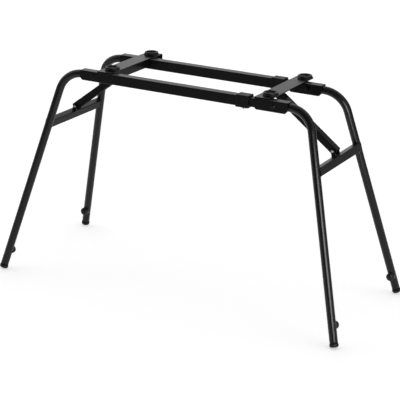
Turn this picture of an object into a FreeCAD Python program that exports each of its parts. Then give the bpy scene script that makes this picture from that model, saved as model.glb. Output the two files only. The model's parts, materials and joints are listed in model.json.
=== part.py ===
import FreeCAD, Part
import math
import os

# Keyboard stand in millimetres: a telescoping top frame on two folding leg frames.
# +Z is up, +X runs along the rails, +Y to the rear. The origin lies on the floor below the middle.
# Every side-dependent piece is modelled for the left side and mirrored for the right one.

V = FreeCAD.Vector
X_AXIS = V(1, 0, 0)
Y_AXIS = V(0, 1, 0)
Z_AXIS = V(0, 0, 1)
half_share = 0.5
cut_overrun = 5.0
parallel_tolerance = 1e-6

# Outer rails
rail_top_height = 644.0
rail_spacing = 224.0
rail_side = 30.0
rail_wall = 2.0
rail_corner_radius = 3.0
rail_inner_corner_radius = 1.0
outer_rail_right_end = 217.0
rail_end_past_hinge = 45.5
rail_end_chamfer = 8.0
rail_slot_past_hinge = 18.0

# Inner rails
inner_rail_side = 25.4
inner_rail_wall = 1.5
inner_rail_corner_radius = 2.5
inner_rail_bore_corner_radius = 1.0
inner_rail_left_end = -200.0
inner_rail_end_before_hinge = 24.5

# Glide plugs on the hidden ends of the inner rails
glide_clearance = 0.15
glide_plug_fit = 0.1
glide_flange = 6.0
glide_insert = 18.0
glide_edge_chamfer = 1.5

# Collars on the ends of the outer rails
collar_length = 40.0
collar_right_end = 221.0
collar_wall = 3.0
collar_corner_radius = 4.0
collar_fit = 0.1
collar_lip_clearance = 0.4
collar_edge_fillet = 1.2
collar_groove_width = 1.6
collar_groove_depth = 0.7
collar_groove_inset = 9.0

# Width lock screws below the collars
lock_boss_radius = 7.0
lock_boss_drop = 3.0
lock_screw_radius = 3.0
lock_screw_hole_clearance = 0.15
lock_screw_tip_gap = 0.3
lock_head_radius = 5.0
lock_head_height = 3.0
lock_socket_flats = 4.0
lock_socket_depth = 1.8

# Hinge brackets of the sliding half
bracket_start = 238.0
bracket_drop = 1.5
bracket_chamfer = 7.0

# Hinge of a leg frame
hinge_offset = 296.5
hinge_bolt_radius = 4.0
hinge_running_fit = 0.08
hinge_hole_fit = 0.05
bolt_head_radius = 8.5
bolt_head_height = 3.2
bolt_head_flat_share = 0.45
bolt_end_past_rail = 8.0
nut_flats = 13.0
nut_height = 5.5
nut_chamfer = 0.8
washer_radius = 8.0
washer_thickness = 0.6

# Cross angles between the rails
angle_inner_face = 242.0
angle_thickness = 2.5
angle_leg_height = 25.0
angle_flange_width = 30.0

# Support arms
arm_offset = 261.0
arm_width = 50.0
arm_thickness = 3.0
arm_front_reach = 9.0
arm_rear_reach = 53.0
arm_corner_radius = 2.5
arm_lip_reach = 11.0
arm_lip_drop = 18.0
arm_lip_bend_radius = 5.0

# Cup pads
left_pad_shift = 3.0
right_pad_shift = 6.0
pad_front_inset = 32.0
pad_rear_reach = 34.0
pad_radius = 21.2
pad_base_radius = 23.0
pad_waist_radius = 22.2
pad_height = 9.2
pad_base_height = 2.0
pad_waist_height = 2.8
pad_rim_width = 6.4
pad_rim_fillet = 1.6
pad_recess_depth = 5.6
pad_recess_slope = 1.4
pad_screw_radius = 2.5
pad_screw_clearance = 0.15
pad_screw_length = 16.0
pad_head_radius = 5.0
pad_head_height = 2.4
pad_head_socket_radius = 2.0
pad_head_socket_depth = 1.4
pad_nut_flats = 8.0
pad_nut_height = 4.0
pad_nut_chamfer = 0.5

# Legs
leg_radius = 12.0
leg_wall = 1.5
leg_knee_offset = 403.6
leg_bend_radius = 75.0
foot_offset_x = 565.0
foot_offset_y = 232.4
stub_end_radius = 12.4

# Foot plugs
foot_radius = 13.2
foot_head_length = 15.0
foot_edge_radius = 4.0
foot_groove_inset = 5.0
foot_groove_width = 1.4
foot_groove_depth = 0.8
foot_insert_length = 22.0
foot_insert_fit = 0.1

# Bumpers low on the legs
bumper_height = 57.0
bumper_radius = 12.0
bumper_proud = 10.0
bumper_dome_rise = 5.5

# Crossbars
crossbar_drop = 162.2
crossbar_shift = 3.0
crossbar_width = 22.2
crossbar_depth = 24.2
crossbar_wall = 1.5
crossbar_corner_radius = 2.0
weld_gap = 0.1

# Struts
strut_foot_rise = 15.85
strut_foot_inset = 5.45
lock_pin_reach = 40.3
lock_pin_drop = 36.7
strut_end_past_pin = 12.2
strut_width = 25.0
strut_wall = 2.0
strut_below_axis = 9.8
strut_above_axis = 10.6
strut_web_past_foot = 7.0
strut_corner_radius = 1.5
hook_slant = 21.3
hook_clearance = 0.5
hook_lead = 3.0
hook_corner_chamfer = 5.0

# Lugs, pins and caps of the struts
lug_side_gap = 0.5
lug_wall = 3.0
upper_lug_radius = 8.0
lower_lug_radius = 6.2
pin_radius = 4.0
pin_fit = 0.05
pin_running_fit = 0.08
pin_head_radius = 6.5
pin_head_height = 2.0
pin_end_past_lug = 3.6
pin_end_chamfer = 0.8
pin_side_gap = 0.3
cap_radius = 6.8
cap_height = 2.2
lock_pin_past_lug = 2.0

# Places worked out from the sizes above
rail_mid_height = rail_top_height - rail_side * half_share
rail_bottom_height = rail_top_height - rail_side
rail_y = rail_spacing * half_share
rail_half = rail_side * half_share
rail_bore_half = rail_half - rail_wall
rail_left_end = -(hinge_offset + rail_end_past_hinge)
inner_rail_half = inner_rail_side * half_share
inner_rail_right_end = hinge_offset - inner_rail_end_before_hinge
collar_left_end = collar_right_end - collar_length
collar_half = rail_half + collar_wall
collar_mid = collar_right_end - collar_length * half_share
arm_top_height = rail_top_height + arm_thickness
arm_front = -rail_y - arm_front_reach
arm_rear = rail_y + arm_rear_reach
pad_front_y = -rail_y + pad_front_inset
pad_rear_y = rail_y + pad_rear_reach
lug_inner_half = strut_width * half_share + lug_side_gap
lug_outer_half = lug_inner_half + lug_wall


def box(x_from, x_to, y_from, y_to, z_from, z_to):
    return Part.makeBox(x_to - x_from, y_to - y_from, z_to - z_from, V(x_from, y_from, z_from))


def rod(radius, start, end):
    return Part.makeCylinder(radius, (end - start).Length, start, end - start)


def edges_along(shape, direction):
    found = []
    for edge in shape.Edges:
        if edge.Curve.TypeId == "Part::GeomLine":
            if edge.Curve.Direction.cross(direction).Length < parallel_tolerance:
                found.append(edge)
    return found


def rounded_bar(x_from, x_to, y_mid, z_mid, y_half, z_half, radius):
    bar = box(x_from, x_to, y_mid - y_half, y_mid + y_half, z_mid - z_half, z_mid + z_half)
    return bar.makeFillet(radius, edges_along(bar, X_AXIS))


def prism_xz(points, y_from, y_to):
    corners = [V(x, y_from, z) for x, z in points]
    face = Part.Face(Part.makePolygon(corners + corners[:1]))
    return face.extrude(V(0, y_to - y_from, 0))


def turned(points):
    corners = [V(r, 0, z) for r, z in points]
    face = Part.Face(Part.makePolygon(corners + corners[:1]))
    return face.revolve(V(0, 0, 0), Z_AXIS, 360)


def hex_prism(flats, height):
    corner_radius = flats * half_share / math.cos(math.pi / 6)
    corners = []
    for step in range(6):
        angle = step * math.pi / 3
        corners.append(V(corner_radius * math.cos(angle), corner_radius * math.sin(angle), 0))
    face = Part.Face(Part.makePolygon(corners + corners[:1]))
    return face.extrude(V(0, 0, height))


def nut(flats, height, bore_radius, chamfer):
    outside = flats * half_share / math.cos(math.pi / 6)
    cone = turned([
        (0, 0),
        (outside - chamfer, 0),
        (outside, chamfer * half_share),
        (outside, height - chamfer * half_share),
        (outside - chamfer, height),
        (0, height),
    ])
    body = hex_prism(flats, height).common(cone)
    return body.cut(rod(bore_radius, V(0, 0, -cut_overrun), V(0, 0, height + cut_overrun)))


def aimed(shape, direction, place):
    turn = FreeCAD.Rotation(Z_AXIS, direction)
    moved = shape.copy()
    moved.Placement = FreeCAD.Placement(place, turn)
    return moved


def other_side(shape):
    return shape.mirror(V(0, 0, 0), X_AXIS)


def other_end(shape):
    return shape.mirror(V(0, 0, 0), Y_AXIS)


def group(shapes):
    return Part.makeCompound(shapes)


# Outer rail, modelled at the rear. Its left end is open below, where the leg swings through.
def outer_rail():
    tube = rounded_bar(rail_left_end, outer_rail_right_end, rail_y, rail_mid_height,
                       rail_half, rail_half, rail_corner_radius)
    bore = rounded_bar(rail_left_end - cut_overrun, outer_rail_right_end + cut_overrun, rail_y,
                       rail_mid_height, rail_bore_half, rail_bore_half, rail_inner_corner_radius)
    tube = tube.cut(bore)
    slot = box(rail_left_end - cut_overrun, -hinge_offset + rail_slot_past_hinge,
               rail_y - rail_bore_half, rail_y + rail_bore_half,
               rail_bottom_height - cut_overrun, rail_mid_height)
    corner = prism_xz([
        (rail_left_end - cut_overrun, rail_bottom_height - cut_overrun),
        (rail_left_end + rail_end_chamfer + cut_overrun, rail_bottom_height - cut_overrun),
        (rail_left_end - cut_overrun, rail_bottom_height + rail_end_chamfer + cut_overrun),
    ], rail_y - rail_half - cut_overrun, rail_y + rail_half + cut_overrun)
    screw_hole = rod(lock_screw_radius + lock_screw_hole_clearance,
                     V(collar_mid, rail_y, rail_bottom_height - cut_overrun),
                     V(collar_mid, rail_y, rail_mid_height))
    return tube.cut(slot).cut(corner).cut(hinge_hole(-hinge_offset)).cut(screw_hole)


def hinge_hole(x):
    return rod(hinge_bolt_radius + hinge_hole_fit,
               V(x, rail_y - rail_half - cut_overrun, rail_mid_height),
               V(x, rail_y + rail_half + cut_overrun, rail_mid_height))


# Collar with a lip that guides the inner rail and a boss below for the lock screw
def collar():
    body = rounded_bar(collar_left_end, collar_right_end, rail_y, rail_mid_height,
                       collar_half, collar_half, collar_corner_radius)
    rims = [e for e in body.Edges if e.BoundBox.XLength < glide_clearance]
    body = body.makeFillet(collar_edge_fillet, rims)
    boss = rod(lock_boss_radius,
               V(collar_mid, rail_y, rail_bottom_height - collar_wall - lock_boss_drop),
               V(collar_mid, rail_y, rail_bottom_height))
    body = body.fuse(boss)
    seat_half = rail_half + collar_fit
    seat = rounded_bar(collar_left_end - cut_overrun, outer_rail_right_end, rail_y, rail_mid_height,
                       seat_half, seat_half, rail_corner_radius + collar_fit)
    guide_half = inner_rail_half + collar_lip_clearance
    guide = rounded_bar(collar_left_end, collar_right_end + cut_overrun, rail_y, rail_mid_height,
                        guide_half, guide_half, inner_rail_corner_radius + collar_lip_clearance)
    body = body.cut(seat).cut(guide)
    groove_left = collar_left_end + collar_groove_inset
    sleeve = box(groove_left, groove_left + collar_groove_width,
                 rail_y - collar_half - cut_overrun, rail_y + collar_half + cut_overrun,
                 rail_bottom_height - collar_wall - cut_overrun,
                 rail_top_height + collar_wall + cut_overrun)
    core_half = collar_half - collar_groove_depth
    core = rounded_bar(collar_left_end, collar_right_end, rail_y, rail_mid_height,
                       core_half, core_half, collar_corner_radius - collar_groove_depth)
    body = body.cut(sleeve.cut(core))
    screw_hole = rod(lock_screw_radius + lock_screw_hole_clearance,
                     V(collar_mid, rail_y, rail_bottom_height - collar_half),
                     V(collar_mid, rail_y, rail_mid_height))
    return body.cut(screw_hole)


# Width lock screw, modelled pointing up below the rear collar
def lock_screw():
    head_top = rail_bottom_height - collar_wall - lock_boss_drop
    tip = rail_mid_height - inner_rail_half - lock_screw_tip_gap
    shank = rod(lock_screw_radius, V(collar_mid, rail_y, head_top), V(collar_mid, rail_y, tip))
    head = rod(lock_head_radius, V(collar_mid, rail_y, head_top - lock_head_height),
               V(collar_mid, rail_y, head_top))
    socket = aimed(hex_prism(lock_socket_flats, lock_socket_depth), Z_AXIS,
                   V(collar_mid, rail_y, head_top - lock_head_height))
    return shank.fuse(head).cut(socket).removeSplitter()


# Inner rail and its glide plug
def inner_rail():
    tube = rounded_bar(inner_rail_left_end, inner_rail_right_end, rail_y, rail_mid_height,
                       inner_rail_half, inner_rail_half, inner_rail_corner_radius)
    bore_half = inner_rail_half - inner_rail_wall
    bore = rounded_bar(inner_rail_left_end - cut_overrun, inner_rail_right_end + cut_overrun,
                       rail_y, rail_mid_height, bore_half, bore_half,
                       inner_rail_bore_corner_radius)
    return tube.cut(bore)


def glide_plug():
    flange_half = rail_bore_half - glide_clearance
    flange = rounded_bar(inner_rail_left_end - glide_flange, inner_rail_left_end, rail_y,
                         rail_mid_height, flange_half, flange_half, inner_rail_corner_radius)
    outer_rim = [e for e in flange.Edges
                 if e.BoundBox.XMax < inner_rail_left_end - glide_flange * half_share]
    flange = flange.makeChamfer(glide_edge_chamfer, outer_rim)
    insert_half = inner_rail_half - inner_rail_wall - glide_plug_fit
    insert = rounded_bar(inner_rail_left_end, inner_rail_left_end + glide_insert, rail_y,
                         rail_mid_height, insert_half, insert_half,
                         inner_rail_bore_corner_radius)
    return flange.fuse(insert)


# Hinge bracket of the sliding half: a channel open below that takes the inner rail and the leg
def hinge_bracket():
    x_to = hinge_offset + rail_end_past_hinge
    bottom = rail_bottom_height - bracket_drop
    body = box(bracket_start, x_to, rail_y - rail_half, rail_y + rail_half,
               bottom, rail_top_height)
    upper = [e for e in edges_along(body, X_AXIS) if e.BoundBox.ZMin > rail_mid_height]
    body = body.makeFillet(rail_corner_radius, upper)
    hollow = box(bracket_start - cut_overrun, x_to + cut_overrun, rail_y - rail_bore_half,
                 rail_y + rail_bore_half, bottom - cut_overrun, rail_top_height - rail_wall)
    body = body.cut(hollow)
    for x_corner, way in ((bracket_start, 1), (x_to, -1)):
        corner = prism_xz([
            (x_corner - way * cut_overrun, bottom - cut_overrun),
            (x_corner + way * (bracket_chamfer + cut_overrun), bottom - cut_overrun),
            (x_corner - way * cut_overrun, bottom + bracket_chamfer + cut_overrun),
        ], rail_y - rail_half - cut_overrun, rail_y + rail_half + cut_overrun)
        body = body.cut(corner)
    return body.cut(hinge_hole(hinge_offset))


# Hinge bolt through the rear rail, its domed head outside, with its nut and washers
def hinge_bolt():
    outer_face = rail_y + rail_half
    inner_face = rail_y - rail_half
    shank = rod(hinge_bolt_radius, V(-hinge_offset, inner_face - bolt_end_past_rail, rail_mid_height),
                V(-hinge_offset, outer_face, rail_mid_height))
    flat_radius = bolt_head_radius * bolt_head_flat_share
    dome = Part.makeCone(bolt_head_radius, flat_radius, bolt_head_height)
    dome = dome.makeFillet(bolt_head_height * half_share, [dome.Edges[0]])
    return shank.fuse(aimed(dome, Y_AXIS, V(-hinge_offset, outer_face, rail_mid_height)))


def hinge_nut():
    body = nut(nut_flats, nut_height, hinge_bolt_radius, nut_chamfer)
    return aimed(body, -Y_AXIS, V(-hinge_offset, rail_y - rail_half, rail_mid_height))


def hinge_washers():
    washers = []
    for way in (-1, 1):
        wall_y = rail_y + way * rail_bore_half
        inner_y = wall_y - way * washer_thickness
        disc = rod(washer_radius, V(-hinge_offset, inner_y, rail_mid_height),
                   V(-hinge_offset, wall_y, rail_mid_height))
        hole = rod(hinge_bolt_radius, V(-hinge_offset, rail_y - rail_half, rail_mid_height),
                   V(-hinge_offset, rail_y + rail_half, rail_mid_height))
        washers.append(disc.cut(hole))
    return washers


# Cross angle between the two rails, its flange below the support arm
def cross_angle(pad_x):
    y_half = rail_y - rail_half
    wall = box(-angle_inner_face - angle_thickness, -angle_inner_face, -y_half, y_half,
               rail_top_height - angle_leg_height, rail_top_height)
    flange = box(-angle_inner_face - angle_flange_width, -angle_inner_face, -y_half, y_half,
                 rail_top_height - angle_thickness, rail_top_height)
    body = wall.fuse(flange).removeSplitter()
    outer_edge = [e for e in edges_along(body, Y_AXIS)
                  if e.BoundBox.XMin > -angle_inner_face - pin_fit
                  and e.BoundBox.ZMin > rail_mid_height]
    body = body.makeFillet(angle_thickness * half_share, outer_edge)
    return body.cut(pad_screw_hole(pad_x, pad_front_y))


def pad_screw_hole(pad_x, y):
    return rod(pad_screw_radius + pad_screw_clearance,
               V(pad_x, y, rail_mid_height),
               V(pad_x, y, arm_top_height + cut_overrun))


# Support arm across both rails. The left one has its rear end turned down.
def support_arm(pad_x, with_lip):
    x_from = -arm_offset - arm_width * half_share
    x_to = -arm_offset + arm_width * half_share
    flat = box(x_from, x_to, arm_front, arm_rear, rail_top_height, arm_top_height)
    corners = [e for e in edges_along(flat, Z_AXIS)
               if e.BoundBox.YMin < arm_front + arm_thickness or not with_lip]
    arm = flat.makeFillet(arm_corner_radius, corners)
    if with_lip:
        y_to = arm_rear + arm_lip_reach
        bottom = arm_top_height - arm_lip_drop
        lip = box(x_from, x_to, arm_rear, y_to, rail_top_height, arm_top_height)
        drop = box(x_from, x_to, y_to - arm_thickness, y_to, bottom, arm_top_height)
        arm = arm.fuse(lip).fuse(drop).removeSplitter()
        outer = [e for e in edges_along(arm, X_AXIS)
                 if e.BoundBox.YMin > y_to - pin_fit and e.BoundBox.ZMin > rail_top_height]
        arm = arm.makeFillet(arm_lip_bend_radius, outer)
        inner = [e for e in edges_along(arm, X_AXIS)
                 if abs(e.BoundBox.ZMin - rail_top_height) < pin_fit
                 and abs(e.BoundBox.YMin - y_to + arm_thickness) < pin_fit]
        arm = arm.makeFillet(arm_lip_bend_radius - arm_thickness, inner)
    for y in (pad_front_y, pad_rear_y):
        arm = arm.cut(pad_screw_hole(pad_x, y))
    return arm


# Cup pad: a rubber cup on a wider base, with a rounded rim and a hollow top
def cup_pad(pad_x, y):
    recess_radius = pad_radius - pad_rim_width
    floor = pad_height - pad_recess_depth
    bore = pad_screw_radius + pad_screw_clearance
    body = turned([
        (bore, 0),
        (pad_base_radius, 0),
        (pad_base_radius, pad_base_height),
        (pad_waist_radius, pad_waist_height),
        (pad_radius, pad_height),
        (recess_radius, pad_height),
        (recess_radius - pad_recess_slope, floor),
        (bore, floor),
    ])
    rim = [e for e in body.Edges
           if e.BoundBox.ZMin > pad_height - pin_fit and e.BoundBox.XMax > recess_radius - pin_fit]
    body = body.makeFillet(pad_rim_fillet, rim)
    body.translate(V(pad_x, y, arm_top_height))
    return body


def pad_screw(pad_x, y):
    head_bottom = arm_top_height + pad_height - pad_recess_depth
    shank = rod(pad_screw_radius, V(pad_x, y, head_bottom - pad_screw_length),
                V(pad_x, y, head_bottom))
    head = rod(pad_head_radius, V(pad_x, y, head_bottom),
               V(pad_x, y, head_bottom + pad_head_height))
    head = head.makeFillet(pad_head_height * half_share, [head.Edges[0]])
    socket = rod(pad_head_socket_radius,
                 V(pad_x, y, head_bottom + pad_head_height - pad_head_socket_depth),
                 V(pad_x, y, head_bottom + pad_head_height + cut_overrun))
    return shank.fuse(head).cut(socket)


def pad_nut(pad_x, y, seat_height):
    body = nut(pad_nut_flats, pad_nut_height, pad_screw_radius, pad_nut_chamfer)
    return aimed(body, -Z_AXIS, V(pad_x, y, seat_height))


# Leg centre line at the rear left: a stub along the rail, a bend and a straight run to the floor
knee = V(-leg_knee_offset, rail_y, rail_mid_height)
floor_point = V(-foot_offset_x, foot_offset_y, 0)
leg_way = (floor_point - knee).normalize()
leg_turn = math.acos(-leg_way.x)
leg_lean = math.acos(-leg_way.z)
bend_reach = leg_bend_radius * math.tan(leg_turn * half_share)
bend_start = knee + X_AXIS * bend_reach
bend_end = knee + leg_way * bend_reach
inward = (leg_way + X_AXIS).normalize()
bend_middle = knee + inward * (leg_bend_radius / math.cos(leg_turn * half_share) - leg_bend_radius)
foot_back = (foot_edge_radius * (1 - math.cos(leg_lean))
             + (foot_radius - foot_edge_radius) * math.sin(leg_lean)) / math.cos(leg_lean)
foot_end = floor_point - leg_way * foot_back


def leg_core(radius, start, end):
    line = Part.makeLine(start, bend_start)
    arc = Part.Arc(bend_start, bend_middle, bend_end).toShape()
    run = Part.makeLine(bend_end, end)
    path = Part.Wire([line, arc, run])
    ring = Part.Wire([Part.makeCircle(radius, start, X_AXIS)])
    return path.makePipeShell([ring], True, False)


def leg():
    start = V(-hinge_offset + stub_end_radius, rail_y, rail_mid_height)
    tube_end = foot_end - leg_way * foot_head_length
    outside = leg_core(leg_radius, start, tube_end)
    inside = leg_core(leg_radius - leg_wall, start + X_AXIS * cut_overrun,
                      tube_end + leg_way * cut_overrun)
    tube = outside.cut(inside)
    reach = leg_radius + cut_overrun
    nose = box(-hinge_offset, -hinge_offset + stub_end_radius + cut_overrun, rail_y - reach,
               rail_y + reach, rail_mid_height - reach, rail_mid_height + reach)
    swing = rod(stub_end_radius, V(-hinge_offset, rail_y - reach, rail_mid_height),
                V(-hinge_offset, rail_y + reach, rail_mid_height))
    tube = tube.cut(nose.cut(swing))
    hole = rod(hinge_bolt_radius + hinge_running_fit,
               V(-hinge_offset, rail_y - reach, rail_mid_height),
               V(-hinge_offset, rail_y + reach, rail_mid_height))
    return tube.cut(hole)


def foot_plug():
    plug_radius = leg_radius - leg_wall - foot_insert_fit
    groove_low = foot_head_length - foot_groove_inset - foot_groove_width
    groove_high = foot_head_length - foot_groove_inset
    head = turned([
        (0, 0),
        (foot_radius, 0),
        (foot_radius, groove_low),
        (foot_radius - foot_groove_depth, groove_low),
        (foot_radius - foot_groove_depth, groove_high),
        (foot_radius, groove_high),
        (foot_radius, foot_head_length),
        (plug_radius, foot_head_length),
        (plug_radius, foot_head_length + foot_insert_length),
        (0, foot_head_length + foot_insert_length),
    ])
    bottom = [e for e in head.Edges
              if e.BoundBox.ZMax < pin_fit and e.BoundBox.XMax > foot_radius - pin_fit]
    head = head.makeFillet(foot_edge_radius, bottom)
    return aimed(head, -leg_way, foot_end)


def bumper():
    along = (knee.z - bumper_height) / -leg_way.z
    centre = knee + leg_way * along
    tip = leg_radius + bumper_proud
    flank = tip - bumper_dome_rise
    ball_radius = (bumper_radius ** 2 + bumper_dome_rise ** 2) / (bumper_dome_rise + bumper_dome_rise)
    ball = Part.makeSphere(ball_radius, V(0, 0, tip - ball_radius))
    post = rod(bumper_radius, V(0, 0, 0), V(0, 0, tip + cut_overrun))
    upper = post.common(ball)
    lower = rod(bumper_radius, V(0, 0, 0), V(0, 0, flank))
    body = aimed(upper.fuse(lower).removeSplitter(), -Y_AXIS, centre)
    leg_space = rod(leg_radius, centre - leg_way * (tip + cut_overrun),
                    centre + leg_way * (tip + cut_overrun))
    return body.cut(leg_space)


# Crossbar between the legs, leaning outward with them
crossbar_lean = math.atan2(foot_offset_x - leg_knee_offset, rail_mid_height)
crossbar_height = rail_mid_height - crossbar_drop
crossbar_offset = leg_knee_offset + crossbar_drop * math.tan(crossbar_lean) + crossbar_shift
crossbar_centre = V(-crossbar_offset, 0, crossbar_height)


def tilted(shape, place):
    moved = shape.copy()
    moved.Placement = FreeCAD.Placement(place, FreeCAD.Rotation(Y_AXIS, math.degrees(crossbar_lean)))
    return moved


def crossbar():
    leg_y = rail_y + (foot_offset_y - rail_y) * crossbar_drop / rail_mid_height
    x_half = crossbar_width * half_share
    z_half = crossbar_depth * half_share
    bar = box(-x_half, x_half, -leg_y, leg_y, -z_half, z_half)
    bar = bar.makeFillet(crossbar_corner_radius, edges_along(bar, Y_AXIS))
    hollow = box(-x_half + crossbar_wall, x_half - crossbar_wall, -leg_y - cut_overrun,
                 leg_y + cut_overrun, -z_half + crossbar_wall, z_half - crossbar_wall)
    bar = tilted(bar.cut(hollow), crossbar_centre)
    leg_space = rod(leg_radius + weld_gap, knee, floor_point)
    return bar.cut(leg_space).cut(other_end(leg_space))


# The strut runs from a pivot just above the crossbar to the lock pin below the cross angle
lean_up = V(math.sin(crossbar_lean), 0, math.cos(crossbar_lean))
lean_in = V(math.cos(crossbar_lean), 0, -math.sin(crossbar_lean))
crossbar_seat = crossbar_centre + lean_up * (crossbar_depth * half_share)
strut_foot = crossbar_seat + lean_up * strut_foot_rise + lean_in * strut_foot_inset
lock_point = V(-angle_inner_face - angle_thickness - lock_pin_reach, 0,
               rail_top_height - lock_pin_drop)
strut_way = (lock_point - strut_foot).normalize()
strut_up = strut_way.cross(Y_AXIS)
strut_pin_distance = (lock_point - strut_foot).Length
strut_turn = FreeCAD.Rotation(Y_AXIS, -math.degrees(math.atan2(strut_way.z, strut_way.x)))


# Strut in its own frame: foot pivot at the origin, X up along the strut, Z to the web
def strut_local():
    y_half = strut_width * half_share
    x_to = strut_pin_distance + strut_end_past_pin
    side = box(0, x_to, -y_half, y_half, -strut_below_axis, strut_above_axis)
    web = box(-strut_web_past_foot, 0, -y_half, y_half, 0, strut_above_axis)
    round_end = rod(strut_below_axis, V(0, -y_half, 0), V(0, y_half, 0))
    body = side.fuse(web).fuse(round_end).removeSplitter()
    top = [e for e in edges_along(body, X_AXIS)
           if e.BoundBox.ZMin > strut_above_axis - pin_fit and e.BoundBox.XLength > strut_width]
    body = body.makeFillet(strut_corner_radius, top)
    inside = box(-strut_pin_distance, x_to + cut_overrun, -y_half + strut_wall,
                 y_half - strut_wall, -strut_below_axis - cut_overrun,
                 strut_above_axis - strut_wall)
    body = body.cut(inside)
    foot_hole = rod(pin_radius + pin_running_fit, V(0, -y_half - cut_overrun, 0),
                    V(0, y_half + cut_overrun, 0))
    notch_radius = pin_radius + hook_clearance
    seat = rod(notch_radius, V(strut_pin_distance, -y_half - cut_overrun, 0),
               V(strut_pin_distance, y_half + cut_overrun, 0))
    slant = math.radians(hook_slant)
    fall = strut_below_axis + cut_overrun
    shift = fall * math.tan(slant)
    reach = notch_radius / math.cos(slant)
    slot = prism_xz([
        (strut_pin_distance - reach, 0),
        (strut_pin_distance + reach, 0),
        (strut_pin_distance + reach - shift, -fall),
        (strut_pin_distance - reach - shift, -fall),
    ], -y_half - cut_overrun, y_half + cut_overrun)
    mouth = strut_pin_distance - reach - strut_below_axis * math.tan(slant)
    lead = prism_xz([
        (mouth - hook_lead, -strut_below_axis - pin_fit),
        (mouth + hook_lead, -strut_below_axis - pin_fit),
        (mouth + hook_lead, -strut_below_axis + hook_lead),
    ], -y_half - cut_overrun, y_half + cut_overrun)
    tip = prism_xz([
        (x_to - hook_corner_chamfer - cut_overrun, -strut_below_axis - cut_overrun),
        (x_to + cut_overrun, -strut_below_axis - cut_overrun),
        (x_to + cut_overrun, -strut_below_axis + hook_corner_chamfer + cut_overrun),
    ], -y_half - cut_overrun, y_half + cut_overrun)
    return body.cut(foot_hole).cut(seat).cut(slot).cut(lead).cut(tip)


def strut():
    body = strut_local()
    body.Placement = FreeCAD.Placement(strut_foot, strut_turn)
    return body


def ear_pair(profile):
    return profile(-lug_outer_half, -lug_inner_half).fuse(profile(lug_inner_half, lug_outer_half))


# Upper lug on the cross angle: two straps beside the strut, parallel to it, with a back plate
def upper_lug():
    wall_x = -angle_inner_face - angle_thickness
    top_height = rail_top_height - angle_thickness
    up = lock_point + strut_up * upper_lug_radius
    down = lock_point - strut_up * upper_lug_radius
    low = down.z + strut_way.z * (wall_x - down.x) / strut_way.x
    top_run = (top_height - up.z) / strut_way.z

    def profile(y_from, y_to):
        blade = prism_xz([
            (wall_x, low),
            (wall_x, top_height),
            (up.x + strut_way.x * top_run, top_height),
            (up.x, up.z),
            (down.x, down.z),
        ], y_from, y_to)
        tip = rod(upper_lug_radius, V(lock_point.x, y_from, lock_point.z),
                  V(lock_point.x, y_to, lock_point.z))
        return blade.fuse(tip)

    back = box(wall_x - lug_wall, wall_x, -lug_outer_half, lug_outer_half, low, top_height)
    body = ear_pair(profile).fuse(back).removeSplitter()
    return body.cut(pin_hole(lock_point, pin_fit))


def pin_hole(place, fit):
    return rod(pin_radius + fit, V(place.x, -strut_width, place.z), V(place.x, strut_width, place.z))


def lock_pin():
    y_half = lug_outer_half + lock_pin_past_lug
    pin = rod(pin_radius, V(lock_point.x, -y_half, lock_point.z),
              V(lock_point.x, y_half, lock_point.z))
    return pin.makeChamfer(pin_end_chamfer, [pin.Edges[0], pin.Edges[2]])


# Lower lug: two ears beside the strut on a base plate that sits on the crossbar
def lower_lug():
    left = strut_foot_inset - lower_lug_radius
    right = strut_foot_inset + lower_lug_radius

    def profile(y_from, y_to):
        blade = prism_xz([
            (left, 0),
            (right, 0),
            (right, strut_foot_rise),
            (left, strut_foot_rise),
        ], y_from, y_to)
        tip = rod(lower_lug_radius, V(strut_foot_inset, y_from, strut_foot_rise),
                  V(strut_foot_inset, y_to, strut_foot_rise))
        return blade.fuse(tip)

    base = box(left, right, -lug_outer_half, lug_outer_half, 0, lug_wall)
    body = ear_pair(profile).fuse(base).removeSplitter()
    return tilted(body, crossbar_seat).cut(pin_hole(strut_foot, pin_fit))


# Strut pin with a flat head behind and a bare end in front, where a cap holds it
def strut_pin():
    y_half = lug_outer_half + pin_side_gap
    shank = rod(pin_radius, V(strut_foot.x, -y_half - pin_end_past_lug, strut_foot.z),
                V(strut_foot.x, y_half, strut_foot.z))
    shank = shank.makeChamfer(pin_end_chamfer, [shank.Edges[2]])
    head = rod(pin_head_radius, V(strut_foot.x, y_half, strut_foot.z),
               V(strut_foot.x, y_half + pin_head_height, strut_foot.z))
    return shank.fuse(head)


def strut_pin_cap():
    y_half = lug_outer_half + pin_side_gap
    disc = rod(cap_radius, V(strut_foot.x, -y_half - cap_height, strut_foot.z),
               V(strut_foot.x, -y_half, strut_foot.z))
    outer = [e for e in disc.Edges if e.BoundBox.YMax < -y_half - cap_height + pin_fit]
    disc = disc.makeFillet(cap_height * half_share, outer)
    return disc.cut(pin_hole(strut_foot, 0))


nodes = {}

rear_rail = outer_rail()
rear_collar = collar()
rear_inner_rail = inner_rail()
rear_glide_plug = glide_plug()
rear_bracket = hinge_bracket()
nodes["outer_rail_rear"] = rear_rail
nodes["outer_rail_front"] = other_end(rear_rail)
nodes["rail_collar_rear"] = rear_collar
nodes["rail_collar_front"] = other_end(rear_collar)
nodes["width_lock_screws"] = group([lock_screw(), other_end(lock_screw())])
nodes["inner_rail_rear"] = rear_inner_rail
nodes["inner_rail_front"] = other_end(rear_inner_rail)
nodes["glide_plug_rear"] = rear_glide_plug
nodes["glide_plug_front"] = other_end(rear_glide_plug)
nodes["hinge_bracket_rear"] = rear_bracket
nodes["hinge_bracket_front"] = other_end(rear_bracket)

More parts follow.
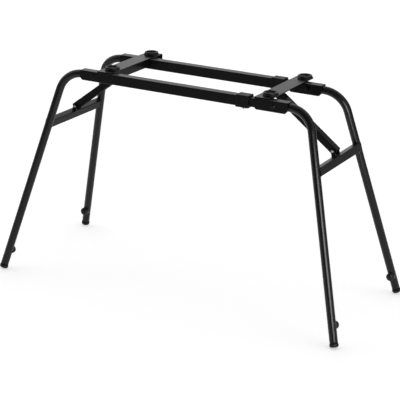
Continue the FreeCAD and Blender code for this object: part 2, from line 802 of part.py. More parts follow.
rear_bolt = hinge_bolt()
rear_nut = hinge_nut()
rear_washers = hinge_washers()
rear_leg = leg()
rear_foot = foot_plug()
rear_bumper = bumper()
flange_bottom = rail_top_height - angle_thickness
shared_pieces = {
    "hinge_bolts": group([rear_bolt, other_end(rear_bolt)]),
    "hinge_nuts": group([rear_nut, other_end(rear_nut)]),
    "hinge_washers": group(rear_washers + [other_end(washer) for washer in rear_washers]),
    "upper_lug": upper_lug(),
    "lock_pin": lock_pin(),
    "leg_rear": rear_leg,
    "leg_front": other_end(rear_leg),
    "foot_plug_rear": rear_foot,
    "foot_plug_front": other_end(rear_foot),
    "bumper_rear": rear_bumper,
    "bumper_front": other_end(rear_bumper),
    "crossbar": crossbar(),
    "lower_lug": lower_lug(),
    "strut": strut(),
    "strut_pin": strut_pin(),
    "strut_pin_cap": strut_pin_cap(),
}
for name, shape in shared_pieces.items():
    nodes["left_" + name] = shape
    nodes["right_" + name] = other_side(shape)


# Pieces that follow the pads, which sit a little to the right of the middle of either arm
def pad_pieces(pad_x, with_lip):
    return {
        "cross_angle": cross_angle(pad_x),
        "support_arm": support_arm(pad_x, with_lip),
        "cup_pad_front": cup_pad(pad_x, pad_front_y),
        "cup_pad_rear": cup_pad(pad_x, pad_rear_y),
        "pad_screws": group([pad_screw(pad_x, pad_front_y), pad_screw(pad_x, pad_rear_y)]),
        "pad_nuts": group([pad_nut(pad_x, pad_front_y, flange_bottom),
                           pad_nut(pad_x, pad_rear_y, rail_top_height)]),
    }


for name, shape in pad_pieces(left_pad_shift - arm_offset, True).items():
    nodes["left_" + name] = shape
for name, shape in pad_pieces(-right_pad_shift - arm_offset, False).items():
    nodes["right_" + name] = other_side(shape)

os.makedirs("parts", exist_ok=True)
for name, shape in nodes.items():
    shape.exportStep("parts/" + name + ".step")
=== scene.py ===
"""Keyboard stand in metres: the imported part, its finishes, small details, stage and camera."""

import json
import math

import bmesh
import bpy
from mathutils import Matrix, Vector


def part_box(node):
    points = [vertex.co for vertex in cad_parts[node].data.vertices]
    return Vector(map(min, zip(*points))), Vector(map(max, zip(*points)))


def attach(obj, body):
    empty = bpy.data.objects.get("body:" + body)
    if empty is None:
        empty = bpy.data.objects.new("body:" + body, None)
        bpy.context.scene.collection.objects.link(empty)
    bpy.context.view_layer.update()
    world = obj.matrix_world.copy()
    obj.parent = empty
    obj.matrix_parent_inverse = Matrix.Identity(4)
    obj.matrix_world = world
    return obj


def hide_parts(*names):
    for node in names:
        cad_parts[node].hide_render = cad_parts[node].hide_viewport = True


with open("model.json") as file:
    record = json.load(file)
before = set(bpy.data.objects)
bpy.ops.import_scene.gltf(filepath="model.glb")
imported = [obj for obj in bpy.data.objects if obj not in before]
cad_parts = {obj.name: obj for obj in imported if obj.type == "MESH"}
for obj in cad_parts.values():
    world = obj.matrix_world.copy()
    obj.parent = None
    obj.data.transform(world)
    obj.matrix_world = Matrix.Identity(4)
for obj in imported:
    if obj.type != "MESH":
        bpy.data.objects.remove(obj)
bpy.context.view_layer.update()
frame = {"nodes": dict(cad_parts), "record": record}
scene = bpy.context.scene

# Camera: the photograph's viewpoint. The roll is in radians.
camera_place = Vector((1.994516, -3.630021, 1.712089))
camera_yaw = math.radians(28.743)
camera_pitch = math.radians(19.309)
camera_roll = 0.0198
camera_lens_mm = 130.70
camera_reach = 80.0
sensor_mm = 36.0

# Floor: a round sheet, and beyond it a backdrop that bends upwards
floor_near_radius = 5.0
floor_far_radius = 20.0
floor_facets = 96
backdrop_bend = 8.0
backdrop_height = 40.0
backdrop_steps = 8
floor_tone = 0.76
floor_light_tone = 0.7676
floor_glow = 0.5

# Sky: levels by the sine of the elevation. Patches are azimuth from the rear towards +X,
# elevation, inner and outer half-angle in degrees, and the factor inside.
sky_levels = [(0.0, 0.55), (0.12, 0.8), (0.3, 1.32), (0.45, 1.34), (0.7, 1.0), (1.0, 0.9)]
sky_level_limit = 2.0
sky_patches = [
    (-36, 2, 6, 20, 1.6),
    (38, 0, 26, 46, 0.12),
    (172, 12, 46, 78, 0.12),
]

# Key: a dim lamp close to the front right leg, which shows only where the part mirrors it
key_place = Vector((1.17, -0.79, 0.458))
key_aim = Vector((0.49, -0.18, 0.28))
key_width = 0.5
key_height = 0.64
key_watts = 13.0


class Graph:
    """Adds nodes and links to the node tree of a material or a world with few words."""

    def __init__(self, owner):
        owner.use_nodes = True
        self.tree = owner.node_tree

    def node(self, kind, **values):
        """A new node, with each value on its property of that name or else on its input."""
        added = self.tree.nodes.new(kind)
        for key, value in values.items():
            if hasattr(added, key):
                setattr(added, key, value)
            else:
                added.inputs[key.replace("_", " ")].default_value = value
        return added

    def link(self, source, target):
        self.tree.links.new(source, target)

    def noise(self, scale, detail, roughness=0.5):
        place = self.node("ShaderNodeTexCoord")
        made = self.node("ShaderNodeTexNoise", Scale=scale, Detail=detail, Roughness=roughness)
        self.link(place.outputs["Object"], made.inputs["Vector"])
        return made.outputs["Fac"]

    def ramp(self, source, stops):
        """Colours between stops, each a place from 0 to 1 and its colour."""
        made = self.node("ShaderNodeValToRGB")
        first, last = made.color_ramp.elements
        first.position, first.color = stops[0]
        last.position, last.color = stops[-1]
        for position, color in stops[1:-1]:
            made.color_ramp.elements.new(position).color = color
        self.link(source, made.inputs["Fac"])
        return made.outputs["Color"]

    def span(self, source, low, high):
        made = self.node("ShaderNodeMapRange", To_Min=low, To_Max=high)
        self.link(source, made.inputs["Value"])
        return made.outputs["Result"]

    def bump(self, source, strength, depth, edge_radius):
        """Grain on a surface, whose edges are softened where a radius is given."""
        made = self.node("ShaderNodeBump", Strength=strength, Distance=depth)
        self.link(source, made.inputs["Height"])
        if edge_radius:
            edges = self.node("ShaderNodeBevel", samples=4, Radius=edge_radius)
            self.link(edges.outputs["Normal"], made.inputs["Normal"])
        return made.outputs["Normal"]

    def combine(self, operation, first, second):
        """A calculation with a socket and a second socket or a number."""
        made = self.node("ShaderNodeMath", operation=operation)
        self.link(first, made.inputs[0])
        if isinstance(second, float):
            made.inputs[1].default_value = second
        else:
            self.link(second, made.inputs[1])
        return made.outputs["Value"]


def new_material(name):
    """A new material and the graph of its empty node tree."""
    made = bpy.data.materials.new(name)
    graph = Graph(made)
    graph.tree.nodes.clear()
    return made, graph


def grey(value, warm=0.0):
    return (value * (1 + warm), value, value * (1 - warm), 1.0)


def finish(name, tones, roughness, cloud_scale, grain_scale, bump_strength, bump_depth,
           edge_radius=None, cloud_detail=4.0, cloud_roughness=0.5, grain_detail=2.0,
           grain_roughness=0.5, rough_grain=False, **fixed):
    """A material with a clouded colour, a fine grain and a roughness that follows one of them."""
    made, graph = new_material(name)
    cloud = graph.noise(cloud_scale, cloud_detail, cloud_roughness)
    grain = graph.noise(grain_scale, grain_detail, grain_roughness)
    color = graph.ramp(cloud, tones)
    rough = graph.span(grain if rough_grain else cloud, *roughness)
    normal = graph.bump(grain, bump_strength, bump_depth, edge_radius)
    shader = graph.node("ShaderNodeBsdfPrincipled", **fixed)
    graph.link(color, shader.inputs["Base Color"])
    graph.link(rough, shader.inputs["Roughness"])
    graph.link(normal, shader.inputs["Normal"])
    out = graph.node("ShaderNodeOutputMaterial")
    graph.link(shader.outputs["BSDF"], out.inputs["Surface"])
    return made


def powder_coat(name, roughness, specular, bump_depth):
    return finish(
        name,
        tones=[(0.35, grey(0.0072)), (0.65, grey(0.0094))],
        roughness=roughness,
        cloud_scale=14.0,
        grain_scale=1500.0,
        bump_strength=0.12,
        bump_depth=bump_depth,
        edge_radius=0.0008,
        Specular_IOR_Level=specular,
    )


def metal(name, dark, light, roughness, cloud_scale):
    return finish(
        name,
        tones=[(0.3, grey(dark, warm=0.01)), (0.7, grey(light, warm=0.02))],
        roughness=roughness,
        cloud_scale=cloud_scale,
        cloud_roughness=0.6,
        grain_scale=2200.0,
        bump_strength=0.1,
        bump_depth=0.0002,
        edge_radius=0.0005,
        Metallic=1.0,
    )


def moulded_plastic():
    return finish(
        "moulded_plastic_black",
        tones=[(0.3, grey(0.016)), (0.7, grey(0.021))],
        roughness=(0.32, 0.44),
        rough_grain=True,
        cloud_scale=30.0,
        grain_scale=2600.0,
        grain_detail=3.0,
        grain_roughness=0.65,
        bump_strength=0.2,
        bump_depth=0.0003,
        edge_radius=0.0006,
        Specular_IOR_Level=0.045,
    )


def soft_rubber():
    return finish(
        "soft_rubber_black",
        tones=[(0.3, grey(0.004)), (0.55, grey(0.006)), (0.8, grey(0.009, warm=0.05))],
        roughness=(0.4, 0.54),
        cloud_scale=60.0,
        cloud_detail=5.0,
        cloud_roughness=0.6,
        grain_scale=3200.0,
        bump_strength=0.2,
        bump_depth=0.0003,
        edge_radius=0.0005,
        Specular_IOR_Level=0.25,
    )


def nylon():
    return finish(
        "natural_nylon",
        tones=[(0.3, grey(0.62, warm=0.03)), (0.7, grey(0.72, warm=0.03))],
        roughness=(0.4, 0.5),
        cloud_scale=80.0,
        cloud_detail=3.0,
        grain_scale=2400.0,
        bump_strength=0.15,
        bump_depth=0.0002,
        Subsurface_Weight=0.05,
    )


# The legs' round tubes shine more than the other black steel
tube_coat = powder_coat("powder_coat_tube", roughness=(0.24, 0.3), specular=0.25, bump_depth=0.00015)
looks = {
    "black_steel": powder_coat("powder_coat_flat", roughness=(0.28, 0.36), specular=0.08,
                               bump_depth=0.0004),
    "zinc_steel": metal("bright_zinc", dark=0.26, light=0.4, roughness=(0.34, 0.48),
                        cloud_scale=90.0),
    "blackened_steel": metal("blackened_steel", dark=0.008, light=0.02, roughness=(0.42, 0.56),
                             cloud_scale=120.0),
    "black_plastic": moulded_plastic(),
    "nylon": nylon(),
    "black_rubber": soft_rubber(),
}
slots = {entry["node"]: entry["material_slot"] for entry in frame["record"]["subparts"]}
for name, node in frame["nodes"].items():
    look = tube_coat if "_leg_" in name else looks[slots[name]]
    node.data.materials.clear()
    node.data.materials.append(look)
    for slot in node.material_slots:
        slot.link = "DATA"
        slot.material = look


# Details, in metres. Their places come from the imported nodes.
up = Vector((0, 0, 1))
rearward = Vector((0, 1, 0))
body_of_side = {"left": "fixed_half", "right": "sliding_half"}

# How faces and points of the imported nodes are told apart
same_place = 1e-6
square_limit = 0.001
top_face_limit = 0.8
sole_face_limit = -0.9
seat_depth = 0.0005
sole_depth = 0.0001

# Weld beads. They leave out the stretch of a crossbar's end that reaches furthest out.
bead_radius = 0.0013
bead_ripple = 0.0018
bead_facets = 8
bead_step_share = 0.25
bead_dip_share = 0.16
bead_end_share = 0.5
bare_tip_depth = 0.0004
angle_wall = 0.0025

# Screw threads: a ridge with a triangle as its section
thread_corners = 3
thread_ridge = 0.00034
thread_root_share = 0.3
thread_width_share = 0.9
thread_fade_share = 0.125
thread_turn_steps = 28
bolt_radius = 0.004
bolt_pitch = 0.00125
screw_pitch = 0.0008
rear_screw_turns = 2

# Pad screws: pan head with a cross recess. Shares are of the head's radius or height.
head_radius = 0.005
head_height = 0.0024
head_crown = 0.0007
head_crown_share = 0.9
head_edge_share = 0.97
head_edge_height_share = 0.6
head_side_height_share = 0.4
head_rings = 22
head_facets = 72
shank_radius = 0.0025
tip_radius = 1e-6
cross_reach = 0.0027
cross_half_width = 0.00062
cross_depth = 0.0014
cross_edge = 0.00022
cross_limit_share = 0.8

# Cup pads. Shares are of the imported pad's radius or height, apart from the last three: those of
# the grooves follow the rim's flat, and those of the ribs the screw head and the hollow.
pad_facets = 96
pad_bore_share = 0.1152
pad_base_share = 0.2174
pad_waist_share = 0.9652
pad_waist_height_share = 0.3043
pad_wall_share = 0.9217
pad_rim_inner_share = 0.6435
pad_hollow_share = 0.5826
pad_floor_share = 0.3913
pad_floor_steps = 8
pad_rim_fillet = 0.0016
pad_chamfer = 0.0003
pad_groove_depth = 0.0003
pad_groove_width = 0.0004
pad_rib_count = 8
pad_rib_height = 0.0005
pad_rib_width = 0.0006
pad_groove_shares = (1 / 3, 2 / 3)
pad_rib_start_share = 1.1
pad_rib_end_share = 0.99

# Feet and bumpers
fillet_steps = 6
round_facets = 48
leg_radius = 0.012
foot_band_radius = 0.0132
foot_band_height = 0.0085
foot_band_fillet = 0.0007
foot_sole_fillet = 0.004
foot_groove_radius = 0.0119
foot_groove_height = 0.0012
foot_groove_top = foot_band_height + foot_groove_height
foot_neck_radius = 0.0118
foot_head_height = 0.015
tread_radii = (0.0032, 0.0056)
tread_proud = 0.0005
tread_facets = 8
tread_steps = 48
bumper_root_radius = 0.0122
bumper_rim_radius = 0.0127
bumper_rim_height = 0.0182
bumper_tip_height = 0.0256
bumper_crown_steps = 7
bumper_sink = 0.0005


def middle(node):
    low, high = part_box(node)
    return (low + high) / 2


def points_of(node):
    return [vertex.co for vertex in frame["nodes"][node].data.vertices]


def inner_reach(node):
    """How near a node comes to the middle between the front and the rear."""
    return min(abs(point.y) for point in points_of(node))


def square_to(axis):
    """Two directions square to an axis and to each other."""
    first = axis.orthogonal().normalized()
    return first, axis.cross(first)


def spoke(first, second, angle):
    """The direction at an angle from a first direction towards a second."""
    return first * math.cos(angle) + second * math.sin(angle)


def quads(rings, facets, closed):
    """Faces between rings of points. Closed also joins the last ring to the first."""
    faces = []
    for ring in range(rings if closed else rings - 1):
        following = (ring + 1) % rings
        for corner in range(facets):
            beside = (corner + 1) % facets
            faces.append((ring * facets + corner, ring * facets + beside,
                          following * facets + beside, following * facets + corner))
    return faces


def capped(points, faces, facets):
    """A shape with its first and last ring of points filled."""
    count = len(points)
    return points, faces + [tuple(range(facets)), tuple(range(count - facets, count))]


def joined(shapes):
    """Points and faces of several shapes as one."""
    points, faces = [], []
    for more_points, more_faces in shapes:
        faces += [tuple(corner + len(points) for corner in face) for face in more_faces]
        points += more_points
    return points, faces


def moved(shape, place):
    points, faces = shape
    return [point + place for point in points], faces


def set_up(shape, place, upward, ahead):
    """A shape turned so that its height runs upward and its y ahead, and moved to a place."""
    points, faces = shape
    across = ahead.cross(upward).normalized()
    turn = Matrix((across, upward.cross(across), upward)).transposed()
    return [place + turn @ point for point in points], faces


def mesh_of(name, points, faces):
    mesh = bpy.data.meshes.new(name)
    mesh.from_pydata(points, [], faces)
    work = bmesh.new()
    work.from_mesh(mesh)
    bmesh.ops.recalc_face_normals(work, faces=work.faces)
    work.to_mesh(mesh)
    work.free()
    return mesh


def add_piece(name, shape, body, slot, look=None, node=None):
    """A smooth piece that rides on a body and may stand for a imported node."""
    mesh = mesh_of(name, *shape)
    mesh.materials.append(look or looks[slot])
    for face in mesh.polygons:
        face.use_smooth = True
    piece = bpy.data.objects.new(name, mesh)
    scene.collection.objects.link(piece)
    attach(piece, body)
    if node:
        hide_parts(node)


def even_steps(path, closed, step):
    """Points along a path of straight pieces, evenly spaced, and their distance from its start."""
    corners = path + path[:1] if closed else path
    lengths = [(after - before).length for before, after in zip(corners, corners[1:])]
    total = sum(lengths)
    count = round(total / step)
    made = []
    piece = 0
    walked = 0.0
    for index in range(count if closed else count + 1):
        at = total * index / count
        while piece < len(lengths) - 1 and walked + lengths[piece] < at:
            walked += lengths[piece]
            piece += 1
        share = min(1.0, (at - walked) / lengths[piece])
        made.append((corners[piece].lerp(corners[piece + 1], share), at))
    return made


def bead(path, closed):
    """A weld bead: a rippled round strand along a path."""
    steps = even_steps(path, closed, bead_ripple * bead_step_share)
    count = len(steps)
    points = []
    side = None
    for index, (place, at) in enumerate(steps):
        after = steps[(index + 1) % count][0] if closed or index < count - 1 else place
        before = steps[index - 1][0] if closed or index else place
        way = (after - before).normalized()
        if side is None:
            side = way.orthogonal().normalized()
        side = (side - way * side.dot(way)).normalized()
        swell = 1 - bead_dip_share * abs(math.cos(math.pi * at / bead_ripple))
        if not closed and index in (0, count - 1):
            swell *= bead_end_share
        for turn in range(bead_facets):
            out = spoke(side, way.cross(side), math.tau * turn / bead_facets)
            points.append(place + out * bead_radius * swell)
    faces = quads(count, bead_facets, closed)
    return (points, faces) if closed else capped(points, faces, bead_facets)


def add_welds(name, paths, body, look, closed=False):
    add_piece(name, joined(bead(path, closed) for path in paths), body, "black_steel", look)


def crossbar_lines(side):
    """The line at each end of a crossbar where its outer faces meet the cut for the leg."""
    node = side + "_crossbar"
    centre = middle(node)
    work = bmesh.new()
    work.from_mesh(frame["nodes"][node].data)
    bmesh.ops.remove_doubles(work, verts=work.verts, dist=same_place)
    work.normal_update()

    def outer(face):
        out = face.calc_center_median() - centre
        out.y = 0
        return abs(face.normal.y) < square_limit and face.normal.dot(out) > 0

    rims = {"front": set(), "rear": set()}
    for edge in work.edges:
        if len(edge.link_faces) == 2 and outer(edge.link_faces[0]) != outer(edge.link_faces[1]):
            for vertex in edge.verts:
                rims["rear" if vertex.co.y > 0 else "front"].add(tuple(vertex.co))
    work.free()
    lines = []
    for rim in rims.values():
        reach = max(abs(point[1]) for point in rim)
        line = sorted((Vector(point) for point in rim),
                      key=lambda point: math.atan2(point.z - centre.z, point.x - centre.x))
        bare = [reach - abs(point.y) < bare_tip_depth for point in line]
        first = next(index for index in range(len(line)) if bare[index - 1] and not bare[index])
        line = line[first:] + line[:first]
        lines.append([point for point in line if reach - abs(point.y) >= bare_tip_depth])
    return lines


def crossbar_top(side):
    """The direction square to a crossbar's upper face."""
    upper = [face for face in frame["nodes"][side + "_crossbar"].data.polygons
             if abs(face.normal.y) < square_limit and face.normal.z > top_face_limit]
    return max(upper, key=lambda face: face.area).normal.copy()


def lower_lug_seat(side):
    """The outline of the lower lug's base on the crossbar."""
    top = crossbar_top(side)
    points = points_of(side + "_lower_lug")
    lowest = min(point.dot(top) for point in points)
    seat = [point for point in points if point.dot(top) < lowest + seat_depth]
    near = min(seat, key=lambda point: point.x)
    far = max(seat, key=lambda point: point.x)
    front = min(point.y for point in seat)
    rear = max(point.y for point in seat)
    return [Vector((near.x, front, near.z)), Vector((far.x, front, far.z)),
            Vector((far.x, rear, far.z)), Vector((near.x, rear, near.z))]


def angle_lines(side):
    """Lines where a cross angle meets both rails and where the upper lug meets the angle."""
    low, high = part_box(side + "_cross_angle")
    inner, flange_end = (low.x, high.x) if side == "right" else (high.x, low.x)
    wall = inner + math.copysign(angle_wall, flange_end - inner)
    under = high.z - angle_wall
    lines = []
    for y in (low.y, high.y):
        lines.append([Vector((inner, y, low.z)), Vector((inner, y, under))])
        lines.append([Vector((wall, y, low.z)), Vector((wall, y, under)),
                      Vector((flange_end, y, under))])
    lug_low, lug_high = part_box(side + "_upper_lug")
    for y in (lug_low.y, lug_high.y):
        lines.append([Vector((wall, y, low.z + bead_radius)), Vector((wall, y, lug_high.z))])
    return lines


def helix(start, axis, radius, length, pitch):
    """A pointed screw ridge round a shank, which fades out at both ends."""
    first, second = square_to(axis)
    count = round(length / pitch * thread_turn_steps)
    root = radius - thread_ridge * thread_root_share
    half = pitch * thread_width_share / 2
    points = []
    for index in range(count + 1):
        share = index / count
        out = spoke(first, second, math.tau * length / pitch * share)
        fade = min(1.0, share / thread_fade_share, (1 - share) / thread_fade_share)
        base = start + axis * length * share
        points.append(base + out * root - axis * half)
        points.append(base + out * (radius + thread_ridge * fade))
        points.append(base + out * root + axis * half)
    return capped(points, quads(count + 1, thread_corners, closed=False), thread_corners)


def add_bolt_threads(side):
    """Screw ridges on the free ends of both hinge bolts, up to their nuts."""
    tip = inner_reach(side + "_hinge_bolts") + bolt_pitch / 2
    length = inner_reach(side + "_hinge_nuts") - tip
    ridges = []
    for axis in (-rearward, rearward):
        start = middle(side + "_hinge_bolts")
        start.y = axis.y * tip
        ridges.append(helix(start, axis, bolt_radius, length, bolt_pitch))
    add_piece(side + "_hinge_bolt_threads", joined(ridges), body_of_side[side], "blackened_steel")


def lathe(outline, facets, lift=None, closed=True):
    """A turned outline of radius and height, each point lifted by its place."""
    points = []
    for radius, height in outline:
        for turn in range(facets):
            angle = math.tau * turn / facets
            x = radius * math.cos(angle)
            y = radius * math.sin(angle)
            points.append(Vector((x, y, height + (lift(x, y, height) if lift else 0))))
    return points, quads(len(outline), facets, closed)


def fillet(centre_radius, centre_height, size, start):
    """A quarter circle of an outline, turning clockwise from a start angle in degrees."""
    made = []
    for step in range(fillet_steps + 1):
        angle = math.radians(start - 90 * step / fillet_steps)
        made.append((centre_radius + size * math.cos(angle), centre_height + size * math.sin(angle)))
    return made


def pad_outline(radius, height):
    """A cup pad's outline: the hollow's floor, the grooved rim, the side and the underside."""
    bore = radius * pad_bore_share
    hollow = radius * pad_hollow_share
    floor = height * pad_floor_share
    crown_from = radius * pad_rim_inner_share + pad_rim_fillet
    crown_to = radius * pad_wall_share - pad_rim_fillet
    outline = [(bore + (hollow - bore) * step / pad_floor_steps, floor)
               for step in range(pad_floor_steps + 1)]
    outline += fillet(crown_from, height - pad_rim_fillet, pad_rim_fillet, start=180)
    for share in pad_groove_shares:
        groove = crown_from + (crown_to - crown_from) * share
        outline += [(groove - pad_groove_width, height), (groove, height - pad_groove_depth),
                    (groove + pad_groove_width, height)]
    outline += fillet(crown_to, height - pad_rim_fillet, pad_rim_fillet, start=90)
    return outline + [
        (radius * pad_waist_share, height * pad_waist_height_share),
        (radius, height * pad_base_share),
        (radius, pad_chamfer),
        (radius - pad_chamfer, 0),
        (bore, 0),
    ]


def add_pad(side, end):
    """A cup pad with grooves in its rim and ribs on its hollow's floor."""
    node = f"{side}_cup_pad_{end}"
    low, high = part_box(node)
    radius = (high.x - low.x) / 2
    height = high.z - low.z
    floor = height * pad_floor_share
    rib_start = head_radius * pad_rib_start_share
    rib_end = radius * pad_hollow_share * pad_rib_end_share

    def ribs(x, y, level):
        ring = math.hypot(x, y)
        if abs(level - floor) > same_place or not rib_start < ring < rib_end:
            return 0
        turn = math.atan2(y, x) * pad_rib_count / math.tau
        off = abs(turn - round(turn)) * math.tau / pad_rib_count * ring
        return pad_rib_height * max(0.0, 1 - (off / pad_rib_width) ** 2)

    place = middle(node)
    place.z = low.z
    shape = moved(lathe(pad_outline(radius, height), pad_facets, ribs), place)
    add_piece(node + "_moulding", shape, body_of_side[side], "black_rubber", node=node)


def cross_recess(x, y, level):
    """How far a screw head's top sinks at a place, for its cross recess."""
    if math.hypot(x, y) >= head_radius * cross_limit_share or level <= head_height / 2:
        return 0
    sunk = 0.0
    for along, across in ((x, y), (y, x)):
        inside = min(cross_half_width - abs(across), cross_reach - abs(along))
        sunk = max(sunk, min(1.0, (inside + cross_edge / 2) / cross_edge))
    return -cross_depth * sunk


def add_pad_screws(side):
    """Both pad screws of a side, with the thread that shows below their nuts."""
    node = side + "_pad_screws"
    low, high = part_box(node)
    shank = high.z - low.z - head_height
    outline = []
    for step in range(head_rings + 1):
        ring = head_radius * head_crown_share * step / head_rings
        outline.append((max(ring, tip_radius), head_height - head_crown * (ring / head_radius) ** 2))
    outline += [
        (head_radius * head_edge_share, head_height * head_edge_height_share),
        (head_radius, head_height * head_side_height_share),
        (head_radius, 0),
        (shank_radius, 0),
        (shank_radius, -shank),
        (tip_radius, -shank),
    ]
    screw = lathe(outline, head_facets, cross_recess, closed=False)
    lengths = {
        "front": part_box(side + "_pad_nuts")[0].z - low.z - screw_pitch,
        "rear": rear_screw_turns * screw_pitch,
    }
    shapes = []
    for end, length in lengths.items():
        place = middle(f"{side}_cup_pad_{end}")
        place.z = high.z - head_height
        shapes.append(moved(screw, place))
        place.z = low.z
        shapes.append(helix(place + up * screw_pitch / 2, up, shank_radius, length, screw_pitch))
    add_piece(node + "_cross", joined(shapes), body_of_side[side], "blackened_steel", node=node)


def sole_of(side, end):
    """The middle of a foot plug's sole, and the direction that the sole faces."""
    node = f"{side}_foot_plug_{end}"
    soles = [face for face in frame["nodes"][node].data.polygons if face.normal.z < sole_face_limit]
    sole = max(soles, key=lambda face: face.area)
    axis = sole.normal.copy()
    level = sole.center.dot(axis)
    rim = [point for point in points_of(node) if abs(point.dot(axis) - level) < sole_depth]
    low = Vector([min(places) for places in zip(*rim)])
    high = Vector([max(places) for places in zip(*rim)])
    return (low + high) / 2, axis


def add_foot(side, end):
    """A foot plug: a round band on the floor, and a groove between it and the leg's tube."""
    centre, axis = sole_of(side, end)
    sole_edge = fillet(foot_band_radius - foot_sole_fillet, foot_sole_fillet, foot_sole_fillet,
                       start=0)
    band_edge = fillet(foot_band_radius - foot_band_fillet, foot_band_height - foot_band_fillet,
                       foot_band_fillet, start=90)
    outline = sole_edge[::-1] + band_edge[::-1] + [
        (foot_groove_radius, foot_band_height),
        (foot_groove_radius, foot_groove_top),
        (foot_neck_radius, foot_groove_top),
        (foot_neck_radius, foot_head_height),
    ]
    shape = capped(*lathe(outline, round_facets, closed=False), round_facets)
    node = f"{side}_foot_plug_{end}"
    add_piece(node + "_moulding", set_up(shape, centre, -axis, rearward), side + "_leg_frame",
              "black_rubber", node=node)


def add_leg_end(side, end):
    """The painted tube round a foot plug's neck, down to the plug's groove."""
    centre, axis = sole_of(side, end)
    outline = [
        (foot_neck_radius, foot_groove_top),
        (leg_radius, foot_groove_top),
        (leg_radius, foot_head_height),
        (foot_neck_radius, foot_head_height),
    ]
    shape = set_up(lathe(outline, round_facets), centre, -axis, rearward)
    add_piece(f"{side}_leg_end_{end}", shape, side + "_leg_frame", "black_steel", tube_coat)


def tread_ring(centre, axis, radius):
    """A ring of round section, half sunk in a sole."""
    first, second = square_to(axis)
    points = []
    for turn in range(tread_steps):
        out = spoke(first, second, math.tau * turn / tread_steps)
        for corner in range(tread_facets):
            angle = math.tau * corner / tread_facets
            points.append(centre + out * (radius + tread_proud * math.cos(angle))
                          + axis * tread_proud * math.sin(angle))
    return points, quads(tread_steps, tread_facets, closed=True)


def add_tread(side, end):
    centre, axis = sole_of(side, end)
    rings = joined(tread_ring(centre, axis, radius) for radius in tread_radii)
    add_piece(f"{side}_foot_tread_{end}", rings, side + "_leg_frame", "black_rubber")


def add_bumper(side, end):
    """A domed bumper on a leg's inner side, whose base follows the leg's round."""
    sole, axis = sole_of(side, end)
    node = f"{side}_bumper_{end}"
    centre = sole + axis * ((middle(node).z - sole.z) / axis.z)
    inward = rearward if end == "front" else -rearward
    lean = inward.dot(axis)
    slope = lean / math.sqrt(1 - lean ** 2)

    def base(x, y, height):
        if height > 0:
            return 0.0
        return math.sqrt(max(leg_radius ** 2 - x ** 2, 0)) - bumper_sink + y * slope

    outline = [(bumper_root_radius, 0)]
    for step in range(bumper_crown_steps + 1):
        angle = math.radians(90 * step / (bumper_crown_steps + 1))
        outline.append((bumper_rim_radius * math.cos(angle),
                        bumper_rim_height + (bumper_tip_height - bumper_rim_height) * math.sin(angle)))
    shape = capped(*lathe(outline, round_facets, base, closed=False), round_facets)
    add_piece(node + "_moulding", set_up(shape, centre, inward, axis), side + "_leg_frame",
              "black_rubber", node=node)


for side, half in body_of_side.items():
    legs = side + "_leg_frame"
    add_welds(side + "_crossbar_welds", crossbar_lines(side), legs, tube_coat)
    add_welds(side + "_lower_lug_weld", [lower_lug_seat(side)], legs, tube_coat, closed=True)
    add_welds(side + "_cross_angle_welds", angle_lines(side), half, looks["black_steel"])
    add_bolt_threads(side)
    add_pad_screws(side)
    for end in ("front", "rear"):
        add_pad(side, end)
        add_foot(side, end)
        add_leg_end(side, end)
        add_tread(side, end)
        add_bumper(side, end)


def floor_material():
    """White paper with a glow that only the camera, mirroring and clear surfaces see."""
    made, graph = new_material("studio_floor")
    cloud = graph.noise(scale=0.4, detail=2.0)
    color = graph.ramp(cloud, [(0.3, grey(floor_tone)), (0.7, grey(floor_light_tone))])
    paper = graph.node("ShaderNodeBsdfDiffuse")
    graph.link(color, paper.inputs["Color"])
    rays = graph.node("ShaderNodeLightPath").outputs
    seen = graph.combine("MAXIMUM", rays["Is Camera Ray"], rays["Is Glossy Ray"])
    seen = graph.combine("MAXIMUM", seen, rays["Is Transmission Ray"])
    glow = graph.node("ShaderNodeEmission")
    graph.link(graph.combine("MULTIPLY", seen, floor_glow), glow.inputs["Strength"])
    both = graph.node("ShaderNodeAddShader")
    graph.link(paper.outputs["BSDF"], both.inputs[0])
    graph.link(glow.outputs["Emission"], both.inputs[1])
    out = graph.node("ShaderNodeOutputMaterial")
    graph.link(both.outputs["Shader"], out.inputs["Surface"])
    return made


def add_sheet(name, points, faces, paper):
    mesh = mesh_of(name, points, faces)
    mesh.materials.append(paper)
    sheet = bpy.data.objects.new(name, mesh)
    scene.collection.objects.link(sheet)
    return sheet


def stage_floor():
    """A round floor, and beyond it a backdrop that only the camera sees."""
    paper = floor_material()
    rim, _ = lathe([(floor_near_radius, 0)], floor_facets, closed=False)
    add_sheet("floor", rim, [tuple(range(floor_facets))], paper)
    outline = [(floor_near_radius, 0)]
    for step in range(backdrop_steps + 1):
        turn = math.pi / 2 * step / backdrop_steps
        outline.append((floor_far_radius - backdrop_bend + backdrop_bend * math.sin(turn),
                        backdrop_bend - backdrop_bend * math.cos(turn)))
    outline.append((floor_far_radius, backdrop_height))
    backdrop = add_sheet("backdrop", *lathe(outline, floor_facets, closed=False), paper)
    for rays in ("diffuse", "glossy", "transmission", "shadow"):
        setattr(backdrop, "visible_" + rays, False)


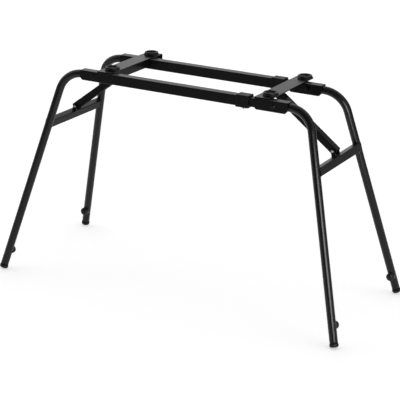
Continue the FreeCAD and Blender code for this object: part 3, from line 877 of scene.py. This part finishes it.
def stage_world():
    """A sky whose brightness follows the elevation, with a bright patch and two dark ones."""
    world = bpy.data.worlds.new("studio")
    scene.world = world
    graph = Graph(world)
    way = graph.node("ShaderNodeTexCoord").outputs["Generated"]
    split = graph.node("ShaderNodeSeparateXYZ")
    graph.link(way, split.inputs["Vector"])
    curve = graph.node("ShaderNodeFloatCurve")
    curve.mapping.clip_max_y = sky_level_limit
    points = curve.mapping.curves[0].points
    for place, value in sky_levels[1:-1]:
        points.new(place, value)
    points[0].location = sky_levels[0]
    points[-1].location = sky_levels[-1]
    curve.mapping.update()
    graph.link(split.outputs["Z"], curve.inputs["Value"])
    level = curve.outputs["Value"]
    for azimuth, elevation, inner, outer, factor in sky_patches:
        across = math.radians(azimuth)
        rise = math.radians(elevation)
        nearness = graph.node("ShaderNodeVectorMath", operation="DOT_PRODUCT")
        nearness.inputs[1].default_value = (math.sin(across) * math.cos(rise),
                                            math.cos(across) * math.cos(rise), math.sin(rise))
        graph.link(way, nearness.inputs[0])
        inside = graph.node(
            "ShaderNodeMapRange",
            interpolation_type="SMOOTHSTEP",
            From_Min=math.cos(math.radians(outer)),
            From_Max=math.cos(math.radians(inner)),
            To_Min=1.0,
            To_Max=factor,
        )
        graph.link(nearness.outputs["Value"], inside.inputs["Value"])
        level = graph.combine("MULTIPLY", level, inside.outputs["Result"])
    sky = graph.tree.nodes["Background"]
    sky.inputs["Color"].default_value = grey(1.0)
    graph.link(level, sky.inputs["Strength"])


def stage_key():
    lamp = bpy.data.lights.new("key", "AREA")
    lamp.shape = "RECTANGLE"
    lamp.size = key_width
    lamp.size_y = key_height
    lamp.energy = key_watts
    key = bpy.data.objects.new("key", lamp)
    key.location = key_place
    key.rotation_euler = (key_aim - key_place).to_track_quat("-Z", "Y").to_euler()
    key.visible_diffuse = False
    key.visible_camera = False
    scene.collection.objects.link(key)


def stage_camera():
    ahead = Vector((-math.sin(camera_yaw) * math.cos(camera_pitch),
                    math.cos(camera_yaw) * math.cos(camera_pitch), -math.sin(camera_pitch)))
    level_right = Vector((math.cos(camera_yaw), math.sin(camera_yaw), 0))
    level_up = level_right.cross(ahead)
    right = spoke(level_right, level_up, camera_roll)
    upward = spoke(level_up, -level_right, camera_roll)
    lens = bpy.data.cameras.new("photo_view")
    lens.lens = camera_lens_mm
    lens.sensor_width = sensor_mm
    lens.clip_end = camera_reach
    view = bpy.data.objects.new("photo_view", lens)
    turn = Matrix((right, upward, -ahead)).transposed().to_4x4()
    view.matrix_world = Matrix.Translation(camera_place) @ turn
    scene.collection.objects.link(view)
    scene.camera = view


stage_floor()
stage_world()
stage_key()
stage_camera()
scene.view_settings.view_transform = "Standard"
